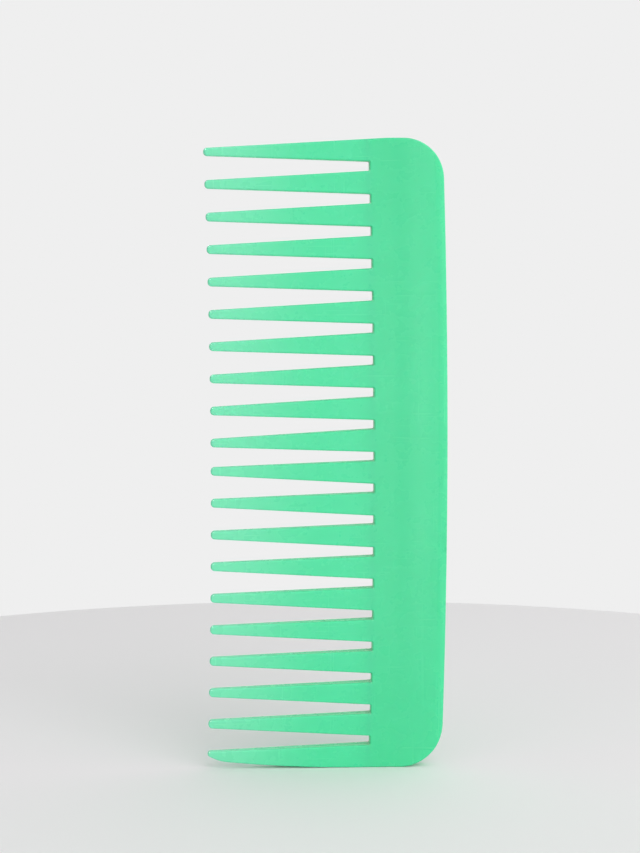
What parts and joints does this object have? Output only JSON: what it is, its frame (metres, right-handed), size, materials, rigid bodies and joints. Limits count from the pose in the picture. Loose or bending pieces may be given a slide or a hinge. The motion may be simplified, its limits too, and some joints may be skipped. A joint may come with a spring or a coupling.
{
  "type": "wide tooth comb",
  "caption": "Flat plastic comb without a handle: a crowned, gently bowed spine carries wide tapered teeth with rounded tips, for detangling thick or wet hair.",
  "frame": {"origin": "middle of the comb's lower end, on the surface that it stands on", "axes": "+Z along the comb's length, -X the way the teeth point, Y across its thickness; the pictured side faces -Y"},
  "size_m": [0.0612, 0.005, 0.1598],
  "materials": {
    "comb_plastic": "semi-gloss mint green, coloured through, slightly translucent at the tips"
  },
  "bodies": {
    "root": {"spine": "comb_plastic", "end_tooth_bottom": "comb_plastic", "tooth_02": "comb_plastic", "tooth_03": "comb_plastic", "tooth_04": "comb_plastic", "tooth_05": "comb_plastic", "tooth_06": "comb_plastic", "tooth_07": "comb_plastic", "tooth_08": "comb_plastic", "tooth_09": "comb_plastic", "tooth_10": "comb_plastic", "tooth_11": "comb_plastic", "tooth_12": "comb_plastic", "tooth_13": "comb_plastic", "tooth_14": "comb_plastic", "tooth_15": "comb_plastic", "tooth_16": "comb_plastic", "tooth_17": "comb_plastic", "tooth_18": "comb_plastic", "tooth_19": "comb_plastic", "end_tooth_top": "comb_plastic"}
  },
  "joints": []
}
